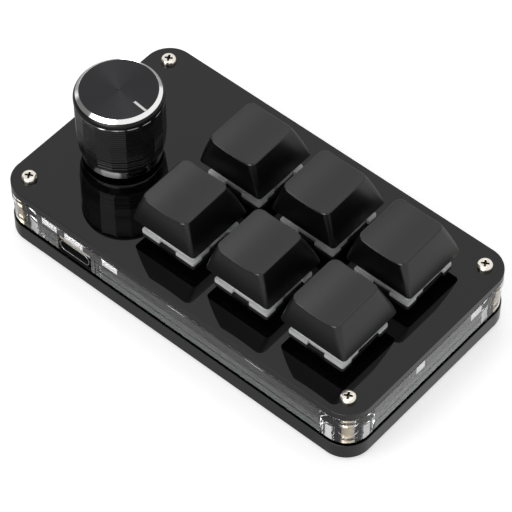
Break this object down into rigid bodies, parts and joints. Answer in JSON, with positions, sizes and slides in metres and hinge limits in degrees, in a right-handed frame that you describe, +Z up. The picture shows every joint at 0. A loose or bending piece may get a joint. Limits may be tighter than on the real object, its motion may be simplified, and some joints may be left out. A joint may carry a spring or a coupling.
{
  "type": "macro keypad with knob",
  "caption": "Low desk keypad: a case of stacked sheets with sprung keys, a knob that turns and presses, and a cable socket.",
  "frame": {"origin": "centre of the outline, on the surface that the feet stand on", "axes": "+X along the long side from the knob towards the keys, +Y towards the long side without the socket, +Z up"},
  "size_m": [0.1046, 0.0576, 0.0383],
  "materials": {
    "gloss_black_sheet": "high gloss cast sheet, polished by its mould",
    "clear_sheet": "clear cast sheet with cut edges",
    "black_rubber": "matte",
    "nickel": "bright nickel plate",
    "brass": "turned",
    "green_board": "green solder mask, satin",
    "black_plastic": "fine matte",
    "white_housing": "white moulded plastic, satin",
    "led_white": "white moulded package",
    "gold_contact": "gold plated",
    "spring_steel": "drawn wire",
    "stem_plastic": "self-lubricating moulded plastic",
    "black_aluminium": "black anodised, turned and faceted, with bare bright chamfers",
    "pointer_white": "white filling",
    "cap_black": "fine spark-eroded matte"
  },
  "bodies": {
    "board": {"top_plate": "gloss_black_sheet", "upper_frame": "clear_sheet", "lower_frame": "clear_sheet", "bottom_plate": "gloss_black_sheet", "rubber_feet": "black_rubber", "top_screws": "nickel", "bottom_screws": "nickel", "standoffs": "brass", "circuit_board": "green_board", "controller_chip": "black_plastic", "board_parts": "black_plastic", "side_leds": "led_white", "usb_shell": "nickel", "usb_tongue": "black_plastic", "usb_contacts": "gold_contact", "encoder_base": "black_plastic", "encoder_bushing": "nickel", "encoder_terminals": "nickel", "push_dome": "spring_steel", "switch_contacts": "gold_contact", "switch_base_1": "white_housing", "switch_cover_1": "white_housing", "switch_spring_1": "spring_steel", "switch_base_2": "white_housing", "switch_cover_2": "white_housing", "switch_spring_2": "spring_steel", "switch_base_3": "white_housing", "switch_cover_3": "white_housing", "switch_spring_3": "spring_steel", "switch_base_4": "white_housing", "switch_cover_4": "white_housing", "switch_spring_4": "spring_steel", "switch_base_5": "white_housing", "switch_cover_5": "white_housing", "switch_spring_5": "spring_steel", "switch_base_6": "white_housing", "switch_cover_6": "white_housing", "switch_spring_6": "spring_steel"},
    "key_1": {"keycap_1": "cap_black", "switch_stem_1": "stem_plastic"},
    "key_2": {"keycap_2": "cap_black", "switch_stem_2": "stem_plastic"},
    "key_3": {"keycap_3": "cap_black", "switch_stem_3": "stem_plastic"},
    "key_4": {"keycap_4": "cap_black", "switch_stem_4": "stem_plastic"},
    "key_5": {"keycap_5": "cap_black", "switch_stem_5": "stem_plastic"},
    "key_6": {"keycap_6": "cap_black", "switch_stem_6": "stem_plastic"},
    "encoder_rotor": {"encoder_rotor": "white_housing"},
    "knob": {"encoder_shaft": "nickel", "knob_insert": "black_plastic", "knob_body": "black_aluminium", "knob_pointer": "pointer_white"}
  },
  "joints": [
    {"name": "key_1_press", "type": "slide", "parent": "board", "child": "key_1", "axis": [0, 0, -1], "range_m": [0, 0.004], "stiffness_N_per_m": 75, "springref_m": -0.004, "deforming": ["switch_spring_1"]},
    {"name": "key_2_press", "type": "slide", "parent": "board", "child": "key_2", "axis": [0, 0, -1], "range_m": [0, 0.004], "stiffness_N_per_m": 75, "springref_m": -0.004, "deforming": ["switch_spring_2"]},
    {"name": "key_3_press", "type": "slide", "parent": "board", "child": "key_3", "axis": [0, 0, -1], "range_m": [0, 0.004], "stiffness_N_per_m": 75, "springref_m": -0.004, "deforming": ["switch_spring_3"]},
    {"name": "key_4_press", "type": "slide", "parent": "board", "child": "key_4", "axis": [0, 0, -1], "range_m": [0, 0.004], "stiffness_N_per_m": 75, "springref_m": -0.004, "deforming": ["switch_spring_4"]},
    {"name": "key_5_press", "type": "slide", "parent": "board", "child": "key_5", "axis": [0, 0, -1], "range_m": [0, 0.004], "stiffness_N_per_m": 75, "springref_m": -0.004, "deforming": ["switch_spring_5"]},
    {"name": "key_6_press", "type": "slide", "parent": "board", "child": "key_6", "axis": [0, 0, -1], "range_m": [0, 0.004], "stiffness_N_per_m": 75, "springref_m": -0.004, "deforming": ["switch_spring_6"]},
    {"name": "knob_spin", "type": "hinge", "parent": "board", "child": "encoder_rotor", "pos_m": [-0.0367, -0.0038, 0.014], "axis": [0, 0, 1], "continuous": true},
    {"name": "knob_press", "type": "slide", "parent": "encoder_rotor", "child": "knob", "axis": [0, 0, -1], "range_m": [0, 0.0005], "stiffness_N_per_m": 3000, "springref_m": -0.001, "deforming": ["push_dome"]}
  ]
}
